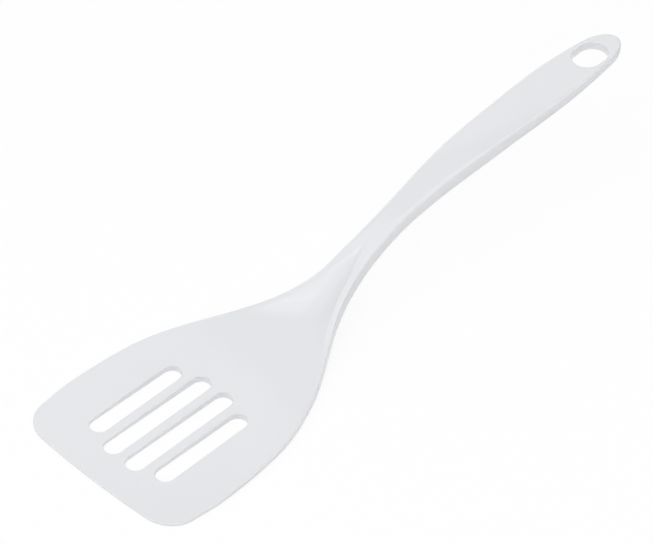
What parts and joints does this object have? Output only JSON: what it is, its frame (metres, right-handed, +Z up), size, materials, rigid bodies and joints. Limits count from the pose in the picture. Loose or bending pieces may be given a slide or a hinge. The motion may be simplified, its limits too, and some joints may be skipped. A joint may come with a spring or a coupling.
{
  "type": "slotted turner",
  "caption": "Slotted kitchen turner moulded in one piece, with a flat flexible blade, a channelled rising neck and a hanging hole.",
  "frame": {"origin": "middle of the overall width and length, on the plane that the blade's flat underside lies on", "axes": "+Y from the blade's front edge to the handle's end, +Z up from the underside to the top, +X across to the right when looking along +Y"},
  "size_m": [0.0916, 0.305, 0.0487],
  "materials": {
    "white_plastic": "Smooth moulded melamine, semi-gloss, cool white"
  },
  "bodies": {
    "root": {"blade": "white_plastic", "neck": "white_plastic", "grip": "white_plastic", "hanging_end": "white_plastic"}
  },
  "joints": []
}
